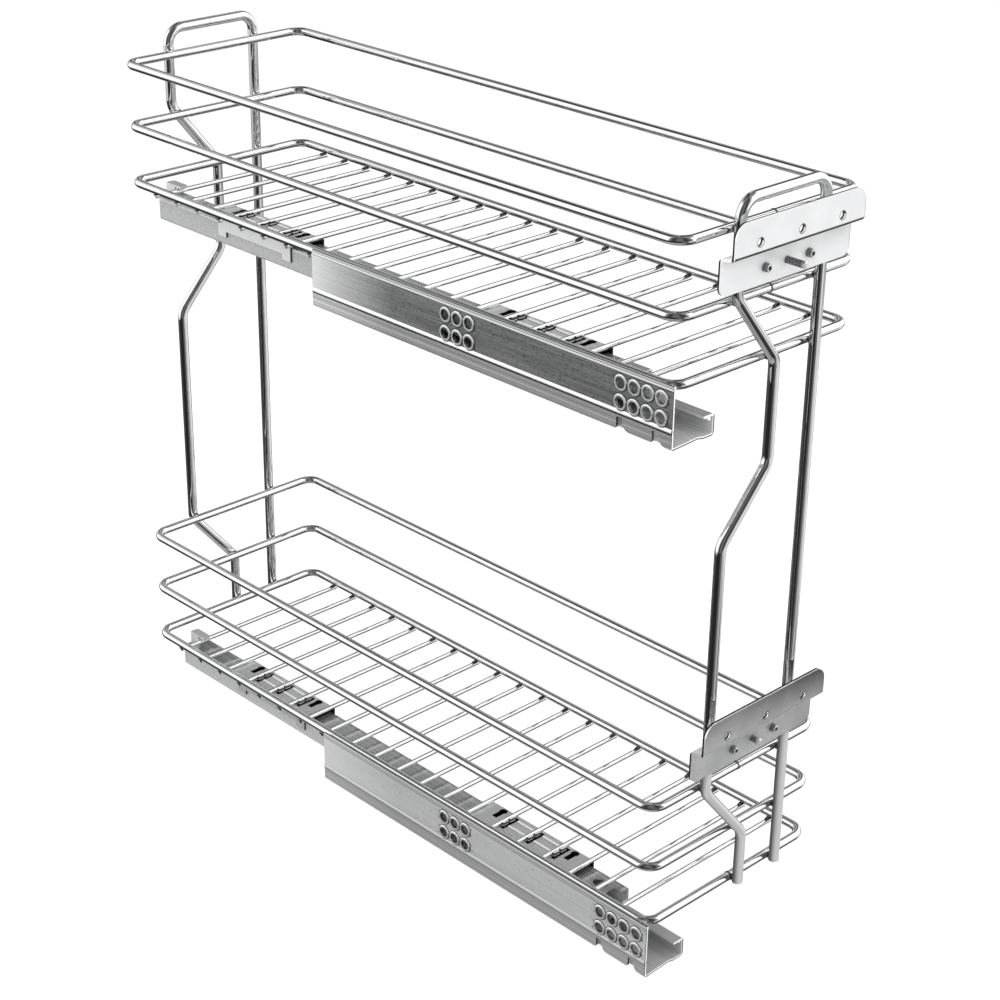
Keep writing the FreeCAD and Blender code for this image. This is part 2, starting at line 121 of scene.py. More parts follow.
def grain(tree, stretch, detail=3.0, roughness=0.5):
    spread = add(tree, "Mapping", {"Vector": place(tree), "Scale": stretch}).outputs["Vector"]
    inputs = {"Vector": spread, "Scale": 1.0, "Detail": detail, "Roughness": roughness}
    return add(tree, "TexNoise", inputs).outputs["Fac"]


def span(tree, value, low, high, start=0.3, end=0.7):
    """A number that runs from low to high while value runs from start to end."""
    inputs = {"Value": value, "From Min": start, "From Max": end, "To Min": low, "To Max": high}
    return add(tree, "MapRange", inputs).outputs["Result"]


def tint(tree, value, dark, light, start=0.3, end=0.7):
    """A colour that runs from dark to light while value runs from start to end."""
    ramp = add(tree, "ValToRGB", {"Fac": value})
    stops = ramp.color_ramp.elements
    stops[0].position, stops[1].position = start, end
    stops[0].color, stops[1].color = (*dark, 1.0), (*light, 1.0)
    return ramp.outputs["Color"]


def blend_colours(tree, share, first, second, mode="MIX"):
    inputs = {mix_share: share, mix_colour_a: first, mix_colour_b: second}
    return add(tree, "Mix", inputs, data_type="RGBA", blend_type=mode).outputs[mix_colour_out]


def multiplied(tree, colour, *others):
    for other in others:
        colour = blend_colours(tree, 1.0, colour, other, "MULTIPLY")
    return colour


def towards(tree, value, mask, goal):
    """A number that turns into goal within a mask."""
    inputs = {mix_share: mask, mix_number_a: value, mix_number_b: goal}
    return add(tree, "Mix", inputs, data_type="FLOAT").outputs[mix_number_out]


def bumped(tree, height, depth, strength=bump_strength, under=None):
    inputs = {"Height": height, "Distance": depth, "Strength": strength}
    if under is not None:
        inputs["Normal"] = under
    return add(tree, "Bump", inputs).outputs["Normal"]


def softened_edges(tree, radius):
    return add(tree, "Bevel", {"Radius": radius}, samples=6).outputs["Normal"]


def finish_material(tree, shader, colour, rough, metallic, normal):
    feed(tree, shader.inputs["Base Color"], colour)
    feed(tree, shader.inputs["Roughness"], rough)
    feed(tree, shader.inputs["Metallic"], metallic)
    feed(tree, shader.inputs["Normal"], normal)


# Masks, 1 within a region and 0 outside it


def above(tree, value, edge, soft=mask_softness):
    return span(tree, value, 0.0, 1.0, edge - soft, edge + soft)


def below(tree, value, edge, soft=mask_softness):
    return span(tree, value, 1.0, 0.0, edge - soft, edge + soft)


def all_of(tree, mask, *others):
    for other in others:
        mask = math_node(tree, "MULTIPLY", mask, other)
    return mask


def any_of(tree, mask, *others):
    for other in others:
        mask = math_node(tree, "MAXIMUM", mask, other)
    return mask


def between(tree, value, low, high):
    return all_of(tree, above(tree, value, low), below(tree, value, high))


def facing(tree, letter):
    """How far a surface faces along an axis of the part, from -1 to 1. Not a mask itself."""
    normal = add(tree, "NewGeometry", {}).outputs["True Normal"]
    return add(tree, "SeparateXYZ", {"Vector": normal}).outputs[letter]


def facing_back(tree, letter):
    """Surfaces that face against an axis of the part."""
    return below(tree, facing(tree, letter), edge=-0.5, soft=0.2)


def on_edge(tree, letter):
    """The cut edges of a sheet that lies square to an axis."""
    slant = math_node(tree, "ABSOLUTE", facing(tree, letter))
    return span(tree, slant, 1.0, 0.0, start=0.25, end=0.45)


def thin_ring(tree, across, up, radius, width):
    """A ring just outside a radius, round the point where across and up are 0."""
    squares = [math_node(tree, "MULTIPLY", side, side) for side in (across, up)]
    away = math_node(tree, "SQRT", math_node(tree, "ADD", *squares))
    return between(tree, away, radius, radius + width)


def painted(tree, colour, *layers):
    """The colour under layers of paint, each a shade and the masks that it keeps within."""
    for shade, *masks in layers:
        paint = (shade, shade * 1.005, shade * 1.01, 1.0)
        colour = blend_colours(tree, all_of(tree, *masks), colour, paint)
    return colour


# Chromed wire


def chrome(name, foot_top=None):
    """Bright plated wire. Below foot_top it is matt, with painted shade on the sides turned from the
    front.
    """
    made, tree, shader = new_material(name)
    wave = grain(tree, (30, 30, 30), detail=2.0)
    fine = grain(tree, (700, 700, 700), detail=3.0)
    colour = tint(tree, grain(tree, (160, 160, 160)), bluish(0.86), bluish(0.93))
    rough = span(tree, fine, 0.02, 0.05)
    metallic = 1.0
    if foot_top is not None:
        matt_colour = (0.64, 0.643, 0.648, 1.0)
        matt_rough, matt_metallic, turned_side_shadow = 0.22, 0.40, 0.14
        ragged, fade = 0.004, 0.003
        height = math_node(tree, "ADD", axis(tree, "Z"), span(tree, wave, -ragged, ragged))
        matt = span(tree, height, 1.0, 0.0, foot_top - fade, foot_top + fade)
        turned = above(tree, facing(tree, "Y"), edge=-0.35, soft=0.35)
        colour = blend_colours(tree, matt, colour, matt_colour)
        # Painted shade on the matt foot's sides that turn from the front
        colour = painted(tree, colour, (turned_side_shadow, matt, turned))
        rough = math_node(tree, "ADD", rough, math_node(tree, "MULTIPLY", matt, matt_rough))
        metallic = span(tree, matt, 1.0, matt_metallic, 0.0, 1.0)
    wave_depth, fine_depth = 0.00004, 0.000003
    swell = bumped(tree, wave, wave_depth)
    normal = bumped(tree, fine, fine_depth, under=swell)
    finish_material(tree, shader, colour, rough, metallic, normal)
    return made


# Zinc-coated and plated sheet


def brushed(tree, dark, light, rough, lines, brushing, speck=0.82, sparse=0.36):
    """Colour, roughness and fine lines of brushed sheet. Its specks are fewer where sparse is low."""
    streaks = grain(tree, lines, detail=4.0, roughness=0.6)
    clouds = tint(tree, grain(tree, (45, 9, 45), detail=3.0), bluish(dark), bluish(light))
    cells = add(tree, "TexVoronoi", {"Vector": place(tree), "Scale": 260.0}).outputs["Color"]
    spangle = tint(tree, cells, grey(0.94), white, 0.0, 1.0)
    strokes = tint(tree, streaks, grey(1.0 - brushing), white, 0.35, 0.65)
    dust = grain(tree, (900, 450, 900), detail=2.0)
    specks = tint(tree, dust, grey(speck), white, sparse - 0.08, sparse + 0.06)
    marks = multiplied(tree, spangle, strokes, specks)
    colour = multiplied(tree, clouds, marks)
    return colour, span(tree, streaks, rough - 0.04, rough + 0.06), streaks


def coat(tree, shader, metallic, colour, rough, marks, depth):
    edge_radius = 0.00022
    normal = bumped(tree, marks, depth, under=softened_edges(tree, edge_radius))
    finish_material(tree, shader, colour, rough, metallic, normal)


def rim_foot_shadow_lines(tree, tier, y, z):
    """A thin line of painted shadow on the screw wall round the foot of each hole's rim."""
    rim_r, line = 0.0046, 0.0004
    pitch = mounts[f"{tier}_front_holes_inner"]["dims"]["spacing_x_mm"] / 1000
    masks = []
    for group in ("front", "middle"):
        mount = mounts[f"{tier}_{group}_holes_outer"]
        length, row_pitch = (mount["dims"][f"spacing_{way}_mm"] / 1000 for way in "xy")
        middle_y, middle_z = mount["pos_m"][1:]
        shifted = math_node(tree, "SUBTRACT", y, middle_y - length / 2)
        across = math_node(tree, "WRAP", shifted, pitch / 2, -pitch / 2)
        rise = math_node(tree, "ABSOLUTE", math_node(tree, "SUBTRACT", z, middle_z))
        up = math_node(tree, "SUBTRACT", rise, row_pitch / 2)
        within = between(tree, shifted, -0.6 * pitch, length + 0.6 * pitch)
        masks.append(all_of(tree, within, thin_ring(tree, across, up, rim_r, line)))
    return any_of(tree, *masks)


def runner_sheet(tier, look):
    """The cabinet profile, with painted highlights and shade on its bead, hole rims, top edge and cut
    ends, and painted light and shade on its strip, inner side and rear end.
    """
    made, tree, shader = new_material(f"galvanised_{tier}_runner")
    base = ("dark", "light", "rough", "lines", "brushing", "speck", "sparse")
    colour, rough, streaks = brushed(tree, *(look[word] for word in base))
    low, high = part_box(f"{tier}_cabinet_profile")
    x, y, z = (axis(tree, letter) for letter in "XYZ")
    upward = facing(tree, "Z")
    rim_height, gauge, margin, hair = 0.0008, 0.0013, 0.0004, 0.0001
    wall_x = low.x + rim_height
    inner_x = wall_x + gauge + hair

    # Outer side of the wall, from the strip under the bead to the lines along the top: painted light at
    # the rear end, painted light and shade on the strip and in the lines, a painted highlight on the bead
    # and painted shadow in the groove
    bead_bottom, bead_crest, bead_top = (low.z + rise for rise in (0.0090, 0.0098, 0.0118))
    hairline, rear_length, rear_share = 0.0003, 0.07, 0.8
    outside = below(tree, x, wall_x + margin)
    rear_painted_light = all_of(tree, outside, span(tree, y, 0.0, rear_share, high.y - rear_length, high.y))
    under_bead = below(tree, z, bead_bottom)
    # Painted light at the rear end, and the strip under the bead painted a flat tone that stands in for
    # how light falls on it
    colour = painted(tree, colour, (look["rear"], rear_painted_light), (look["strip"], outside, under_bead))
    # Lines of painted highlight and shade along the strip under the bead and along the top edge
    for start, end, shade in look["strip_light_and_shade_lines"]:
        line = between(tree, z, low.z + start, low.z + end)
        colour = painted(tree, colour, (shade, outside, line))
    for start, end, shade in look["top_light_and_shade_lines"]:
        line = between(tree, z, high.z - end, high.z - start)
        colour = painted(tree, colour, (shade, line))
    # Painted highlight on the bead and painted shadow in the groove under it
    bead = between(tree, z, bead_crest, bead_top)
    groove = between(tree, z, bead_bottom - hairline, bead_crest)
    colour = painted(tree, colour, (look["bead"], outside, bead), (look["groove"], outside, groove))
    # A line of painted shade along the top of the bead
    if "bead_shadow_line" in look:
        line = between(tree, z, bead_top, bead_top + hairline)
        colour = painted(tree, colour, (look["bead_shadow_line"], outside, line))

    # Rims of the screw holes, which stand out from the wall, and the bores through them: painted shade on
    # the rims, painted highlights on their tops and lips, painted shadow on their sides and round their
    # feet, and painted shadow in the bores
    crisp, proud, rim_lip, rim_bevel = 0.00002, 0.00004, 0.00004, 0.0002
    edge_room, front_group = 0.0010, 0.06
    over_bead = above(tree, z, bead_top + 2 * hair)
    raised = all_of(tree, over_bead, below(tree, x, wall_x - proud, crisp))
    rim_side_shadow = all_of(tree, raised, above(tree, x, low.x + rim_bevel))
    rim_top_highlight = all_of(tree, raised, above(tree, upward, edge=0.16, soft=0.06))
    lip = all_of(tree, over_bead, below(tree, x, low.x + rim_lip, crisp))
    bore_shadow = all_of(tree, over_bead, on_edge(tree, "X"), between(tree, x, low.x + rim_bevel, inner_x),
                  below(tree, z, high.z - edge_room), above(tree, y, low.y + edge_room))
    front_bore_shadow = all_of(tree, bore_shadow, below(tree, y, low.y + front_group))
    colour = painted(tree, colour, (look["rim_foot_shadow"], outside, rim_foot_shadow_lines(tree, tier, y, z)),
                     (look["rim"], raised), (look["rim_side_shadow"], rim_side_shadow), (look["rim_top_highlight"], rim_top_highlight),
                     (look["lip"], lip), (look["bores_shadow"], bore_shadow), (look["front_bores_shadow"], front_bore_shadow))

    # Inner side, painted light and shade; top of the right wall's lip, painted shade; and sides of the
    # notches, painted shadow
    lip_height, lip_width, notch_depth, inside_share = 0.0122, 0.0082, 0.0045, 0.9
    inside = above(tree, x, inner_x)
    on_lip = all_of(tree, above(tree, z, low.z + lip_height - margin),
                    above(tree, x, high.x - lip_width - margin))
    lip_top_shadow = all_of(tree, inside, on_lip, above(tree, upward, edge=0.5, soft=0.2))
    notch_side_shadow = all_of(tree, under_bead, below(tree, x, low.x + notch_depth),
                        on_edge(tree, "X"), on_edge(tree, "Z"))
    colour = painted(tree, colour, (look["inside"], math_node(tree, "MULTIPLY", inside, inside_share)),
                     (look["lip_top_shadow"], lip_top_shadow), (look["notch"], notch_side_shadow))

    # Front end of the sheet, a painted highlight, with painted shade on its outer half that follows the
    # crest in the floor
    end_depth, right_half, lower_half = 0.00015, 0.0009, 0.0007
    crest_rise, crest_from_wall, crest_run = 0.0010, 0.0200, 0.0040
    ends = below(tree, y, low.y + end_depth)
    crest_x = wall_x + crest_from_wall
    floor_rise = math_node(tree, "MINIMUM", span(tree, x, 0.0, crest_rise, wall_x, crest_x),
                           span(tree, x, crest_rise, 0.0, crest_x, crest_x + crest_run))
    underside = below(tree, math_node(tree, "SUBTRACT", z, floor_rise), low.z + lower_half)
    outer_half = any_of(tree, outside, above(tree, x, high.x - right_half), underside)
    colour = painted(tree, colour, (look["end"], ends), (look["end_outline_shadow"], ends, outer_half))

    metallic = towards(tree, look["metallic"], raised, look["rim_metallic"])
    metallic = towards(tree, metallic, any_of(tree, inside, ends), look["inside_metallic"])
    metallic = towards(tree, metallic, rear_painted_light, look["rear_metallic"])
    coat(tree, shader, metallic, colour, rough, streaks, depth=0.000006)
    return made


def slide_sheet(tier, side):
    """The drawer profile, with painted light on its left wall, painted light and shade on its rear hook, a
    painted highlight on its front end, and painted shadow where the clips cover its top.
    """
    made, tree, shader = new_material(f"galvanised_{tier}_slide")
    colour, rough, streaks = brushed(tree, dark=0.52, light=0.66, rough=0.17,
                                     lines=(600, 4, 600), brushing=0.34)
    low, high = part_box(f"{tier}_drawer_profile")
    y, z = (axis(tree, letter) for letter in "YZ")
    hook_height, hook_root, bend, clip_end, end_depth = 0.0084, 0.0006, 0.0005, 0.0017, 0.00015
    under_clip_shadow, hook, hook_side_light, front_end_highlight, spot_share = 0.01, 0.50, 0.85, 0.85, 0.70
    top_metallic, side_metallic = 0.78, 0.35
    top_z = high.z - hook_height
    on_top = above(tree, z, top_z - bend)
    raised = above(tree, z, top_z + hook_root)
    wall = facing_back(tree, "X")
    spots = grain(tree, (900, 500, 900), detail=3.0, roughness=0.6)
    # Painted light on the wall that faces against X, mottled with spots
    pale_painted_light = tint(tree, spots, tuple(spot_share * part for part in bluish(side)), bluish(side))
    colour = blend_colours(tree, wall, colour, pale_painted_light)
    # Painted shadow on the top where the clips cover it
    for clip in ("front_clip", "rear_clip"):
        clip_low, clip_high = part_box(f"{tier}_{clip}")
        covered = between(tree, y, clip_low.y + clip_end, clip_high.y - clip_end)
        colour = painted(tree, colour, (under_clip_shadow, covered, on_top))
    # Painted light and shade on the rear hook, and a painted highlight on the front end
    colour = painted(tree, colour, (hook, raised), (hook_side_light, raised, wall),
                     (front_end_highlight, below(tree, y, low.y + end_depth)))
    metallic = towards(tree, top_metallic, any_of(tree, wall, raised), side_metallic)
    coat(tree, shader, metallic, colour, rough, streaks, depth=0.000006)
    return made


def clip_sheet(tier, skirt):
    """A wire clip, with painted shadow on its cut edges, in its slots, at its rib feet and on its tabs,
    painted highlights on its rib crests, top edges and bend, and painted light on its skirt.
    """
    made, tree, shader = new_material(f"galvanised_{tier}_clip")
    colour, rough, streaks = brushed(tree, dark=0.52, light=0.60, rough=0.27,
                                     lines=(60, 60, 60), brushing=0.06)
    low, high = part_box(f"{tier}_front_clip")
    x, z = (axis(tree, letter) for letter in "XZ")
    tab_height, bend_height, bend_width, left_edge, right_edge = 0.0024, 0.0006, 0.0011, 0.0016, 0.0007
    hairline, rib_foot, rib_flank, rib_top = 0.00012, 0.00008, 0.00024, 0.0010
    cut_edge_shadow, slot_shadow, rib_foot_shadow, rib_crest_highlight = 0.03, 0.015, 0.06, 1.0
    tab_shadow, bright, metallic = 0.03, 0.95, 0.55
    top_z = high.z - tab_height
    top = between(tree, x, low.x + left_edge, high.x - right_edge)
    under_bend = below(tree, z, top_z - bend_height)
    slant = math_node(tree, "ABSOLUTE", facing(tree, "Y"))
    cut_ends = span(tree, slant, 0.0, 1.0, start=0.5, end=0.7)
    cut = any_of(tree, cut_ends, facing_back(tree, "Z"))
    bend = all_of(tree, below(tree, x, low.x + bend_width), above(tree, z, top_z - bend_height))
    # Painted light on the skirt, painted shadow on the cut edges, in the slots, at the rib feet and on the
    # tabs, and painted highlights on the rib crests, the top edges and the bend
    colour = painted(tree, colour, (skirt, facing_back(tree, "X"), under_bend), (cut_edge_shadow, cut),
                     (slot_shadow, top, below(tree, z, top_z - hairline)),
                     (rib_foot_shadow, top, between(tree, z, top_z + rib_foot, top_z + rib_flank)),
                     (rib_crest_highlight, top, between(tree, z, top_z + rib_flank, top_z + rib_top)),
                     (tab_shadow, above(tree, z, top_z + rib_top)),
                     (bright, above(tree, z, high.z - hairline)), (bright, bend))
    coat(tree, shader, metallic, colour, rough, streaks, depth=0.000003)
    return made


def door_hole_shadow_lines(tree, tier):
    """A thin line of painted shade round each of a door bracket's screw holes."""
    mount = mounts[f"{tier}_door_holes"]
    line = 0.0005
    hole_r = mount["dims"]["hole_r_mm"] / 1000
    pitch = mount["dims"]["spacing_x_mm"] / 2000
    shifted = math_node(tree, "SUBTRACT", axis(tree, "X"), mount["pos_m"][0])
    across = math_node(tree, "WRAP", shifted, pitch / 2, -pitch / 2)
    up = math_node(tree, "SUBTRACT", axis(tree, "Z"), mount["pos_m"][2])
    return thin_ring(tree, across, up, hole_r, line)


def plated_sheet(tier, look):
    """A door bracket, with painted shade that darkens it towards the upper right and at its right end,
    painted highlights on the cut edges in front with painted shade on their rear half, and painted light
    and shade under the fold.
    """
    made, tree, shader = new_material(f"bracket_plating_{tier}")
    speckle = grain(tree, (1500, 1500, 1500), detail=3.0, roughness=0.6)
    clouds = grain(tree, (55, 55, 55), detail=3.0)
    low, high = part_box(f"{tier}_door_bracket")
    x, y, z = (axis(tree, letter) for letter in "XYZ")
    gauge, front_half, clear_height, right_end, hair = 0.0020, 0.0009, 0.016, 0.0005, 0.0002
    right_end_shadow, hole_ring_shadow, edge_highlight, rear_edge_shadow = 0.42, 0.16, 0.95, 0.015
    across_share, upward_share, web_room, rough_spread = 0.45, 0.60, 0.0005, 0.05
    across = span(tree, x, 0.0, across_share, low.x, high.x)
    upward = span(tree, z, 0.0, upward_share, low.z + clear_height, high.z)
    # Painted shade that darkens the sheet towards the upper right
    fade = tint(tree, math_node(tree, "ADD", across, upward), white, grey(look["shadow"]), 0.2, 1.0)
    dust = tint(tree, speckle, (0.95, 0.95, 0.955), white)
    base = tint(tree, clouds, bluish(look["dark"]), bluish(look["light"]))
    colour = multiplied(tree, base, multiplied(tree, fade, dust))
    edge = on_edge(tree, "Y")
    rear_half = any_of(tree, between(tree, y, low.y + front_half, low.y + gauge + hair),
                       above(tree, y, high.y - gauge + front_half))
    underside = below(tree, facing(tree, "Z"), edge=-0.2, soft=0.1)
    before_web = below(tree, y, high.y - gauge - web_room)
    # Painted shade at the right end and round the screw holes, painted highlights on the cut edges with
    # painted shade on their rear half, and painted light and shade under the fold
    colour = painted(tree, colour, (right_end_shadow, above(tree, x, high.x - right_end)),
                     (hole_ring_shadow, door_hole_shadow_lines(tree, tier)), (edge_highlight, edge),
                     (rear_edge_shadow, edge, rear_half), (look["fold"], underside, before_web))
    rough = span(tree, clouds, look["rough"] - rough_spread, look["rough"] + rough_spread)
    coat(tree, shader, look["metallic"], colour, rough, speckle, depth=0.000008)
    return made


# Screws, plastic and welds


def screw_steel(name, dark, light, bright_tip=None):
    """Oiled steel. In front of the place bright_tip the end is painted a bright grey."""
    made, tree, shader = new_material(name)
    metallic, tip_shade, mark_depth, edge_radius = 0.7, 0.85, 0.00001, 0.00015
    marks = grain(tree, (1100, 1100, 1100), detail=4.0, roughness=0.6)
    colour = tint(tree, marks, dark, light)
    if bright_tip is not None:
        colour = painted(tree, colour, (tip_shade, below(tree, axis(tree, "Y"), bright_tip)))
    rough = span(tree, marks, 0.16, 0.3)
    normal = bumped(tree, marks, mark_depth, under=softened_edges(tree, edge_radius))
    finish_material(tree, shader, colour, rough, metallic, normal)
    return made


def plastic(name, dark, light, low_rough, high_rough):
    made, tree, shader = new_material(name)
    metallic, mottle_depth, edge_radius = 0.0, 0.00002, 0.0002
    mottle = grain(tree, (400, 400, 400), detail=4.0)
    colour = tint(tree, mottle, dark, light)
    rough = span(tree, grain(tree, (1600, 1600, 1600)), low_rough, high_rough)
    normal = bumped(tree, mottle, mottle_depth, under=softened_edges(tree, edge_radius))
    finish_material(tree, shader, colour, rough, metallic, normal)
    return made


# Weld metal. The welds are real pieces, and their dark colour is painted shadow where the wires cross
def weld_metal(name):
    made, tree, shader = new_material(name)
    metallic, ripple_depth, ripple_strength = 1.0, 0.00008, 0.5
    ripple = grain(tree, (900, 900, 900), detail=3.0)
    colour = tint(tree, ripple, (0.04, 0.04, 0.042), (0.30, 0.30, 0.305))
    rough = span(tree, ripple, 0.10, 0.26)
    normal = bumped(tree, ripple, ripple_depth, ripple_strength)
    finish_material(tree, shader, colour, rough, metallic, normal)
    return made


# Looks of each tier. Apart from dark, light and speck, the runner shades are painted light and shade. A
# line is its start, its end and its shade, a band of painted highlight (light shades) and painted shade
# (dark shades): strip lines are measured up from the underside of the profile, and top lines down from its
# top.

runner_base = {
    "rim_foot_shadow": 0.08, "rim_side_shadow": 0.05, "rim_top_highlight": 1.0, "bores_shadow": 0.06, "notch": 0.03, "end": 0.92,
    "end_outline_shadow": 0.03, "rim_metallic": 0.6, "inside_metallic": 0.25, "rear_metallic": 0.3, "speck": 0.60,
}
runner_looks = {
    "lower": runner_base | {
        "dark": 0.66, "light": 0.74, "metallic": 0.50, "rough": 0.30,
        "lines": (420, 3, 420), "brushing": 0.06, "sparse": 0.32,
        "rear": 0.74, "strip": 0.44, "bead": 0.60, "groove": 0.20, "bead_shadow_line": 0.30,
        "rim": 0.42, "lip": 0.62, "inside": 0.36, "lip_top_shadow": 0.34, "front_bores_shadow": 0.06,
        "strip_light_and_shade_lines": ((0.0002, 0.0008, 0.30), (0.0046, 0.0050, 0.62)),
        "top_light_and_shade_lines": ((0.0, 0.0003, 0.05), (0.0003, 0.0016, 0.66), (0.0016, 0.0019, 0.14),
                      (0.0019, 0.0032, 0.52), (0.0032, 0.0035, 0.16)),
    },
    "upper": runner_base | {
        "dark": 0.34, "light": 0.48, "metallic": 0.75, "rough": 0.26,
        "lines": (1100, 16, 1100), "brushing": 0.34, "sparse": 0.40,
        "rear": 0.95, "strip": 0.60, "bead": 1.0, "groove": 0.02,
        "rim": 0.40, "lip": 0.60, "inside": 0.56, "lip_top_shadow": 0.28, "front_bores_shadow": 0.14,
        "strip_light_and_shade_lines": ((0.0002, 0.0009, 0.36), (0.0042, 0.0047, 0.95), (0.0062, 0.0066, 0.36)),
        "top_light_and_shade_lines": ((0.0, 0.0003, 0.05), (0.0003, 0.0013, 0.50), (0.0013, 0.0016, 0.08),
                      (0.0016, 0.0026, 0.75), (0.0026, 0.0029, 0.10)),
    },
}
# Shadow and fold are painted shade and light on the brackets
bracket_looks = {
    "lower": {"dark": 0.74, "light": 0.82, "metallic": 0.70, "rough": 0.26, "shadow": 0.14, "fold": 0.95},
    "upper": {"dark": 0.77, "light": 0.83, "metallic": 0.32, "rough": 0.33, "shadow": 0.96, "fold": 0.02},
}
# Painted light on the drawer profiles' left walls and on the clips' skirts
slide_side_light = {"lower": 0.76, "upper": 0.66}
clip_skirt_light = {"lower": 0.70, "upper": 0.95}
oiled = {"dark": (0.10, 0.10, 0.104), "light": (0.30, 0.30, 0.305)}
lock_tip_length, pin_tip_length = 0.0003, 0.0024

bright_wire = chrome("bright_wire_chrome")
front_wire = chrome("bright_wire_chrome_matt_foot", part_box("lower_door_bracket")[0].z)
thread_steel = screw_steel("dark_screw_steel", **oiled)
nut_steel = screw_steel("zinc_nut_steel", (0.42, 0.42, 0.42), (0.58, 0.58, 0.575))
cage_skin = plastic("cage_plastic", (0.10, 0.10, 0.105), (0.15, 0.15, 0.155), 0.42, 0.6)
roller_skin = plastic("roller_plastic", (0.78, 0.78, 0.75), (0.86, 0.86, 0.83), 0.22, 0.36)
weld_shadow_skin = weld_metal("weld_bead")


def dress(name, skin):
    for slot in nodes[name].material_slots:
        slot.material = skin


dress("front_frame", front_wire)
dress("rear_frame", bright_wire)
for tier in tiers:
    lock_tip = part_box(f"{tier}_lock_screws")[0].y + lock_tip_length
    pin_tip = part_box(f"{tier}_centre_pin")[0].y + pin_tip_length
    clip_skin = clip_sheet(tier, clip_skirt_light[tier])
    skins = {
        "cabinet_profile": runner_sheet(tier, runner_looks[tier]),
        "drawer_profile": slide_sheet(tier, slide_side_light[tier]),
        "front_clip": clip_skin,
        "rear_clip": clip_skin,
        "door_bracket": plated_sheet(tier, bracket_looks[tier]),
        "lock_screws": screw_steel(f"lock_screw_steel_{tier}", **oiled, bright_tip=lock_tip),
        "centre_pin": screw_steel(f"pin_steel_{tier}", **oiled, bright_tip=pin_tip),
        "weld_nuts": nut_steel,
        "roller_cage": cage_skin,
        "floor_wires": bright_wire,
    }
    skins |= {ring: bright_wire for ring in rings}
    skins |= {f"roller_{number}": roller_skin for number in (1, 2, 3)}
    for node, skin in skins.items():
        dress(f"{tier}_{node}", skin)


# Detail pieces

floor_wire_count, floor_wire_r = 20, 0.0015
leg_split_x = 0.093
weld_sink = 0.00005
left_weld = (0.0024, 0.0019, 0.00085)
right_weld = (0.0042, 0.0018, 0.00090)
right_weld_inset = 0.0016
frame_weld = (0.0026, 0.00095, 0.0026)
bracket_weld_rises = (0.003, 0.010, 0.018)
bracket_weld_aside, bracket_weld_behind, bracket_weld_r = 0.0023, 0.0006, 0.0011
bracket_sheet = 0.002
thread_start, thread_stop, thread_sink = 0.0009, 0.0003, 0.00005


def finish_piece(name, mesh, skin, body):
    bmesh.ops.recalc_face_normals(mesh, faces=mesh.faces)
    for face in mesh.faces:
        face.smooth = True
    data = bpy.data.meshes.new(name)
    mesh.to_mesh(data)
    mesh.free()
    data.materials.append(skin)
    piece = bpy.data.objects.new(name, data)
    scene.collection.objects.link(piece)
    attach(piece, body)


def full_turn(count):
    """Angles round a circle in even steps."""
    return [2 * math.pi * k / count for k in range(count)]


def join_rows(mesh, rows):
    """Faces between each row of points and the next. Each row runs round and closes on itself."""
    for low, high in zip(rows, rows[1:]):
        for k in range(len(low)):
            following = (k + 1) % len(low)
            mesh.faces.new((low[k], low[following], high[following], high[k]))


def cap_rows(mesh, rows):
    mesh.faces.new(rows[0][::-1])
    mesh.faces.new(rows[-1])


def crossings(name, height):
    """Middle x of each leg of a frame at a height, left leg first."""
    data = nodes[name].data
    cuts = []
    for edge in data.edges:
        a, b = (data.vertices[v].co for v in edge.vertices)
        if (a.z - height) * (b.z - height) < 0:
            cuts.append(a.x + (b.x - a.x) * (height - a.z) / (b.z - a.z))
    sides = [[x for x in cuts if x < leg_split_x], [x for x in cuts if x >= leg_split_x]]
    return [(min(side) + max(side)) / 2 for side in sides]


def weld_blob(mesh, centre, reach, seed):
    """A fillet of weld metal with an uneven skin round the point where two wires touch."""
    unevenness, waisting, bumps = 0.16, 0.22, 1.6
    shift = Vector((seed * 3.7, seed * 1.3, seed * 0.7))
    made = bmesh.ops.create_icosphere(mesh, subdivisions=2, radius=1.0)["verts"]
    for vert in made:
        swell = 1.0 + unevenness * noise.noise(vert.co * bumps + shift)
        waist = 1.0 - waisting * (abs(vert.co.x * vert.co.y) + abs(vert.co.y * vert.co.z))
        vert.co = Vector((vert.co[i] * reach[i] * swell * waist for i in range(3))) + Vector(centre)


for tier in tiers:
    wires_low, wires_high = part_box(f"{tier}_floor_wires")
    ring_low, ring_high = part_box(f"{tier}_bottom_ring")
    ring_r = (ring_high.z - ring_low.z) / 2
    touch_z = ring_low.z + weld_sink
    left_x, right_x = ring_low.x + ring_r, ring_high.x - ring_r - right_weld_inset
    first, last = wires_low.y + floor_wire_r, wires_high.y - floor_wire_r
    mesh = bmesh.new()
    for number in range(floor_wire_count):
        y = first + (last - first) * number / (floor_wire_count - 1)
        weld_blob(mesh, (left_x, y, touch_z), left_weld, number * 2)
        weld_blob(mesh, (right_x, y, touch_z), right_weld, number * 2 + 1)
    finish_piece(f"{tier}_floor_welds", mesh, weld_shadow_skin, "basket")

for end in ("front", "rear"):
    mesh = bmesh.new()
    seed = 100
    for tier in tiers:
        for ring in rings:
            low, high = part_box(f"{tier}_{ring}")
            touch_y = low.y + weld_sink if end == "front" else high.y - weld_sink
            z = (low.z + high.z) / 2
            for x in crossings(f"{end}_frame", z):
                seed += 1
                weld_blob(mesh, (x, touch_y, z), frame_weld, seed)
    finish_piece(f"{end}_frame_welds", mesh, weld_shadow_skin, "basket")


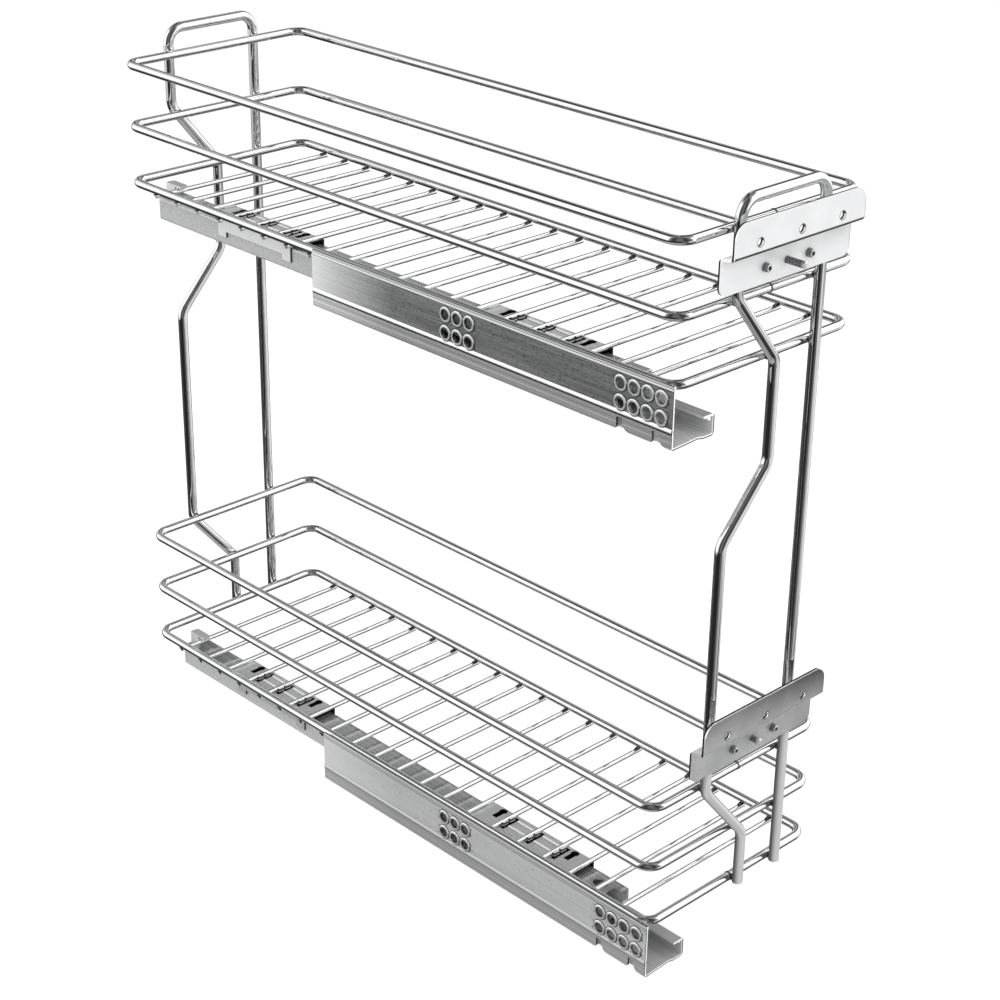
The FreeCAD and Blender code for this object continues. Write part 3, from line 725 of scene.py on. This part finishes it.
def weld_run(mesh, x, y, bottom, top, radius, seed):
    """A rippled run of weld along a leg, thick in the middle and tapering at both ends."""
    steps, around = 48, 10
    ripples, ripple_share, end_share, bluntness = 11, 0.16, 0.02, 0.35
    rows = []
    for i in range(steps + 1):
        t = i / steps
        taper = math.sin(math.pi * min(max(t, end_share), 1 - end_share)) ** bluntness
        ripple = 1.0 + ripple_share * math.sin(t * 2 * math.pi * ripples + seed)
        r = radius * taper * ripple
        z = bottom + (top - bottom) * t
        points = [(x + r * math.cos(a), y + r * math.sin(a), z) for a in full_turn(around)]
        rows.append([mesh.verts.new(point) for point in points])
    join_rows(mesh, rows)
    cap_rows(mesh, rows)


for tier in tiers:
    low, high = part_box(f"{tier}_door_bracket")
    y = high.y + bracket_weld_behind
    bottom, middle, top = (low.z + rise for rise in bracket_weld_rises)
    mesh = bmesh.new()
    for seed, x in enumerate(crossings("front_frame", middle)):
        for side in (-1, 1):
            weld_run(mesh, x + side * bracket_weld_aside, y, bottom, top, bracket_weld_r, seed + side)
    finish_piece(f"{tier}_bracket_welds", mesh, weld_shadow_skin, "basket")


def seam(mesh, x, y, z, wire_r, seed):
    """The upset ridge left where a ring's two ends were butt-welded, closed inside the wire."""
    half_length, inner_rise, around = 0.0009, -0.0006, 32
    bumps, seed_step, rise_wobble, along_wobble = 1.4, 2.1, 0.5, 0.2
    profile = ((-half_length, -0.00002), (-0.0006, 0.00008), (-0.00025, 0.00022), (0.0, 0.00016),
               (0.0003, 0.00024), (0.0006, 0.00009), (half_length, -0.00002),
               (half_length, inner_rise), (-half_length, inner_rise))
    rows = []
    for along, rise in profile:
        row = []
        for a in full_turn(around):
            wobble = noise.noise(Vector((math.cos(a) * bumps, math.sin(a) * bumps, seed * seed_step)))
            r = wire_r + rise * (1.0 + rise_wobble * wobble)
            shifted = x + along * (1 + along_wobble * wobble)
            row.append(mesh.verts.new((shifted, y + r * math.cos(a), z + r * math.sin(a))))
        rows.append(row)
    join_rows(mesh, rows + rows[:1])


for tier in tiers:
    mesh = bmesh.new()
    for seed, ring in enumerate(rings):
        low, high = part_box(f"{tier}_{ring}")
        ring_r = (high.z - low.z) / 2
        seam(mesh, (low.x + high.x) / 2, low.y + ring_r, (low.z + high.z) / 2, ring_r, seed + len(tier))
    finish_piece(f"{tier}_ring_seams", mesh, weld_shadow_skin, "basket")


def thread(mesh, x, z, start, stop, radius):
    """A helical ridge round a screw's shank. It rises over its first turn and sinks over its last."""
    pitch, depth, root, per_turn = 0.0008, 0.00022, -0.00003, 28
    foot_share, crest_share = 0.45, 0.1
    section = ((-foot_share, root), (-crest_share, depth), (crest_share, depth), (foot_share, root))
    steps = int((stop - start) / pitch * per_turn)
    rows = []
    for i in range(steps + 1):
        a = 2 * math.pi * i / per_turn
        y = start + pitch * i / per_turn
        fade = min(1.0, i / per_turn, (steps - i) / per_turn)
        row = []
        for across, rise in section:
            r = radius + (rise * fade if rise > 0 else rise)
            row.append(mesh.verts.new((x + r * math.cos(a), y + across * pitch, z + r * math.sin(a))))
        rows.append(row)
    join_rows(mesh, rows)
    cap_rows(mesh, rows)


for tier in tiers:
    web_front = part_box(f"{tier}_door_bracket")[1].y - bracket_sheet
    mesh = bmesh.new()
    for node in (f"{tier}_lock_screws", f"{tier}_centre_pin"):
        low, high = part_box(node)
        shank_r = (high.z - low.z) / 2
        z = (low.z + high.z) / 2
        left_x, right_x = low.x + shank_r, high.x - shank_r
        for x in (left_x, right_x) if node.endswith("screws") else (left_x,):
            thread(mesh, x, z, low.y + thread_start, web_front - thread_stop, shank_r - thread_sink)
    finish_piece(f"{tier}_screw_threads", mesh, thread_steel, "basket")


# Floor

bounds_low, bounds_high = size_before
centre = (bounds_low + bounds_high) / 2
floor_half, floor_drop = 20.0, 0.2
floor_z = bounds_low.z - floor_drop
floor_corners = [(-floor_half, -floor_half, floor_z), (floor_half, -floor_half, floor_z),
                 (floor_half, floor_half, floor_z), (-floor_half, floor_half, floor_z)]

floor_data = bpy.data.meshes.new("floor")
floor_data.from_pydata(floor_corners, [], [(0, 1, 2, 3)])
floor = bpy.data.objects.new("floor", floor_data)
scene.collection.objects.link(floor)
floor_paint, tree, shader = new_material("pale_floor")
feed(tree, shader.inputs["Base Color"], tint(tree, grain(tree, (3, 3, 3)), grey(0.96), grey(0.98)))
shader.inputs["Roughness"].default_value = 0.9
floor_data.materials.append(floor_paint)
floor.visible_glossy = False


# Studio that the bright metal mirrors


def smooth(low, high, value):
    """0 up to low, 1 from high on, and a soft rise between them."""
    t = min(max((value - low) / (high - low), 0.0), 1.0)
    return t * t * (3 - 2 * t)


def mixed(first, second, share):
    return first + (second - first) * share


def sector(azimuth, middle, half_width, fade):
    """1 in a sector of the studio and 0 outside it, with soft sides."""
    away = abs((azimuth - middle + 180) % 360 - 180)
    return 1.0 - smooth(half_width - fade / 2, half_width + fade / 2, away)


def studio_glow(azimuth, elevation):
    """Brightness of the studio round the part. Degrees, with azimuth from +X to +Y.

    Each mix lays a panel over those before it: its brightness, its sector, and how high or low it is.
    """
    depth = -elevation

    # Upper half: dark overhead and behind the camera, bright on the left and on the right
    overhead = sector(azimuth, 88, 38, 20) * smooth(40, 48, elevation)
    left_rear = sector(azimuth, 128, 36, 24) * (1 - smooth(30, 40, elevation))
    left_high = sector(azimuth, 142, 25, 8) * (1 - smooth(50, 56, elevation))
    right_front = sector(azimuth, 330, 44, 16) * (1 - smooth(50, 58, elevation))
    sky = mixed(0.26, 0.45, sector(azimuth, 85, 45, 20))
    sky = mixed(sky, 0.05, overhead)
    sky = mixed(sky, 0.05, sector(azimuth, 224, 46, 24))
    sky = mixed(sky, 0.14, sector(azimuth, 222, 18, 16))
    sky = mixed(sky, 1.15, max(left_rear, left_high))
    sky = mixed(sky, 1.35, right_front)
    sky = mixed(sky, 0.04, sector(azimuth, 27, 11, 8) * smooth(20, 28, elevation))
    sky = mixed(sky, 0.04, sector(azimuth, 61, 6, 6) * (1 - smooth(52, 58, elevation)))

    # Lower half: dark, with a few bright panels that the upright wires mirror
    band = smooth(17, 20, depth) * (1 - smooth(25, 28, depth))
    low = mixed(0.07, 0.32, sector(azimuth, 310, 48, 20))
    low = mixed(low, 0.10, sector(azimuth, 312, 14, 8) * smooth(24, 31, depth))
    low = mixed(low, 0.75, sector(azimuth, 280, 17, 8) * (1 - 0.7 * smooth(18, 23, depth)))
    low = mixed(low, 0.85, sector(azimuth, 320, 20, 10) * band)
    low = mixed(low, 0.90, sector(azimuth, 345, 13, 8) * smooth(16, 20, depth))
    low = mixed(low, 0.12, sector(azimuth, 246, 16, 10))
    low = mixed(low, 0.02, sector(azimuth, 190, 38, 20))
    low = mixed(low, 0.60, sector(azimuth, 132, 28, 16) * (1 - smooth(13, 19, depth)))
    low = mixed(low, 0.03, sector(azimuth, 110, 60, 30) * smooth(26, 31, depth))
    low = mixed(low, 0.04, smooth(34, 39, depth))
    low = mixed(low, 0.40, smooth(43, 49, depth) * (1 - sector(azimuth, 315, 50, 20)))
    return mixed(sky, low, smooth(6, 14, depth))


def studio_dome(radius):
    """A sphere round the part that only mirrored rays see, with the studio's brightness at its points."""
    across, up = 180, 90
    verts, shades, faces = [], [], []
    for j in range(up + 1):
        elevation = -90 + 180 * j / up
        for i in range(across):
            azimuth = 360 * i / across
            e, a = math.radians(elevation), math.radians(azimuth)
            level_r = radius * math.cos(e)
            verts.append((level_r * math.cos(a), level_r * math.sin(a), radius * math.sin(e)))
            shades.append(studio_glow(azimuth, elevation))
    for j in range(up):
        for i in range(across):
            k = (i + 1) % across
            faces.append((j * across + i, j * across + k, (j + 1) * across + k, (j + 1) * across + i))
    data = bpy.data.meshes.new("studio_dome")
    data.from_pydata(verts, [], faces)
    glow = data.attributes.new("glow", "FLOAT", "POINT")
    glow.data.foreach_set("value", shades)
    dome = bpy.data.objects.new("studio_dome", data)
    dome.location = centre
    scene.collection.objects.link(dome)
    made = bpy.data.materials.new("studio_glow")
    made.use_nodes = True
    tree = made.node_tree
    tree.nodes.clear()
    shade = add(tree, "Attribute", {}, attribute_name="glow").outputs["Fac"]
    light = add(tree, "Emission", {"Strength": shade}).outputs["Emission"]
    add(tree, "OutputMaterial", {"Surface": light})
    made.cycles.emission_sampling = "NONE"
    data.materials.append(made)
    dome.visible_camera = False
    dome.visible_diffuse = False
    dome.visible_shadow = False
    dome.visible_transmission = False


studio_dome(radius=6.0)

world = bpy.data.worlds.new("studio")
scene.world = world
world.use_nodes = True
backdrop = world.node_tree.nodes["Background"]
backdrop.inputs["Color"].default_value = (1.0, 1.0, 1.0, 1.0)
backdrop.inputs["Strength"].default_value = 1.0


# Lights and camera


def soft_light(name, where, energy, size):
    data = bpy.data.lights.new(name, "AREA")
    data.energy = energy
    data.size = size
    light = bpy.data.objects.new(name, data)
    light.location = where
    light.rotation_euler = (centre - Vector(where)).to_track_quat("-Z", "Y").to_euler()
    light.visible_glossy = False
    scene.collection.objects.link(light)


soft_light("key_light", where=(-1.8, -1.2, 2.4), energy=40, size=2.0)
soft_light("fill_light", where=(2.0, -1.6, 1.8), energy=20, size=2.0)

camera_angles = (64.67, -0.7337, -43.7683)
camera_data = bpy.data.cameras.new("photo_camera")
camera_data.sensor_width = 36.0
camera_data.lens = 78.375
camera_data.clip_start = 0.01
camera = bpy.data.objects.new("photo_camera", camera_data)
camera.location = (-0.749, -0.67319, 0.74301)
camera.rotation_euler = tuple(math.radians(angle) for angle in camera_angles)
scene.collection.objects.link(camera)
scene.camera = camera
scene.view_settings.view_transform = "Standard"
